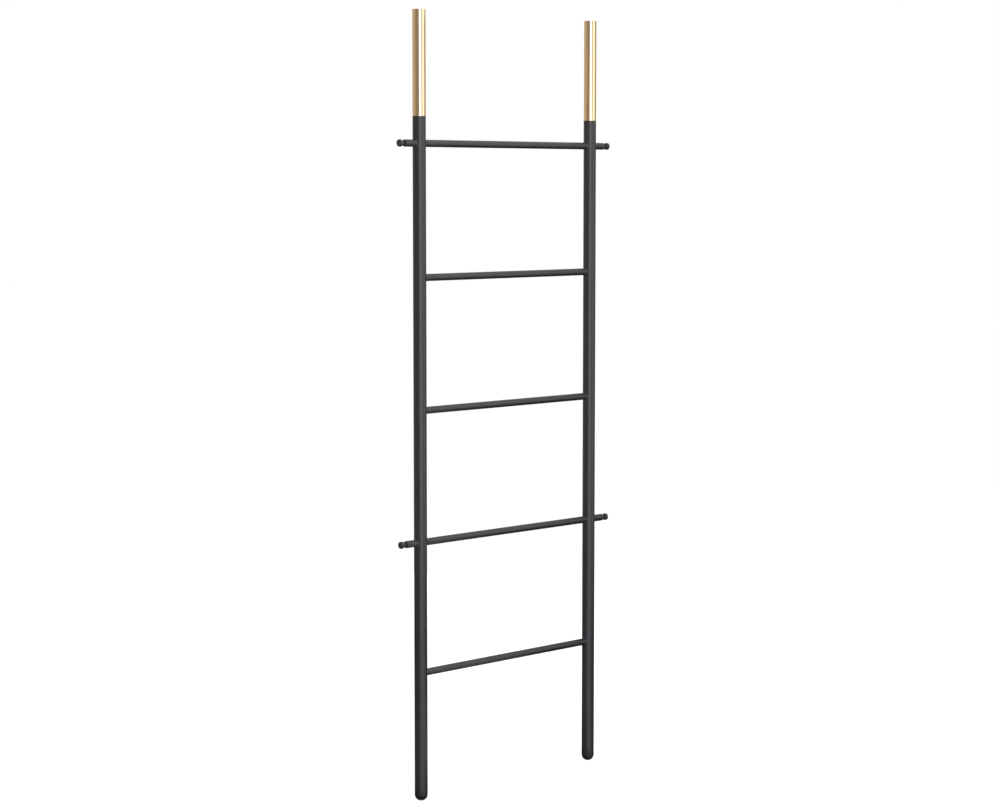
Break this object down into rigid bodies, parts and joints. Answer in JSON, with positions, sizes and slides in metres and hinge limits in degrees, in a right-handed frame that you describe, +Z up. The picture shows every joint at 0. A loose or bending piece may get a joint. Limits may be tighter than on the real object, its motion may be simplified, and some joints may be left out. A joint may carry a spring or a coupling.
{
  "type": "towel ladder",
  "caption": "Leaning towel ladder with round tube uprights, gold top sections, plain rungs, and peg rungs that end in a necked knob on each side.",
  "frame": {"origin": "on the floor, midway between the two feet", "axes": "+X along the rungs towards the right-hand upright as seen from the front, +Y towards the wall behind, +Z up the uprights"},
  "size_m": [0.65, 0.03, 1.791],
  "materials": {
    "black_coat": "satin anthracite powder coat",
    "gold_metal": "polished pale gold",
    "foot_rubber": "matt moulded rubber",
    "plated_steel": "zinc plated"
  },
  "bodies": {
    "root": {"left_upright": "black_coat", "right_upright": "black_coat", "left_foot": "foot_rubber", "right_foot": "foot_rubber", "left_upright_insert": "plated_steel", "right_upright_insert": "plated_steel", "left_joining_stud": "plated_steel", "right_joining_stud": "plated_steel", "left_top_insert": "plated_steel", "right_top_insert": "plated_steel", "left_top_tube": "gold_metal", "right_top_tube": "gold_metal", "left_top_cap": "gold_metal", "right_top_cap": "gold_metal", "rung_1": "black_coat", "rung_2": "black_coat", "rung_3": "black_coat", "rung_4": "black_coat", "rung_5": "black_coat", "lower_left_rung_plug": "black_coat", "lower_right_rung_plug": "black_coat", "upper_left_rung_plug": "black_coat", "upper_right_rung_plug": "black_coat", "lower_left_neck_stud": "black_coat", "lower_right_neck_stud": "black_coat", "upper_left_neck_stud": "black_coat", "upper_right_neck_stud": "black_coat", "lower_left_knob": "black_coat", "lower_right_knob": "black_coat", "upper_left_knob": "black_coat", "upper_right_knob": "black_coat"}
  },
  "joints": []
}
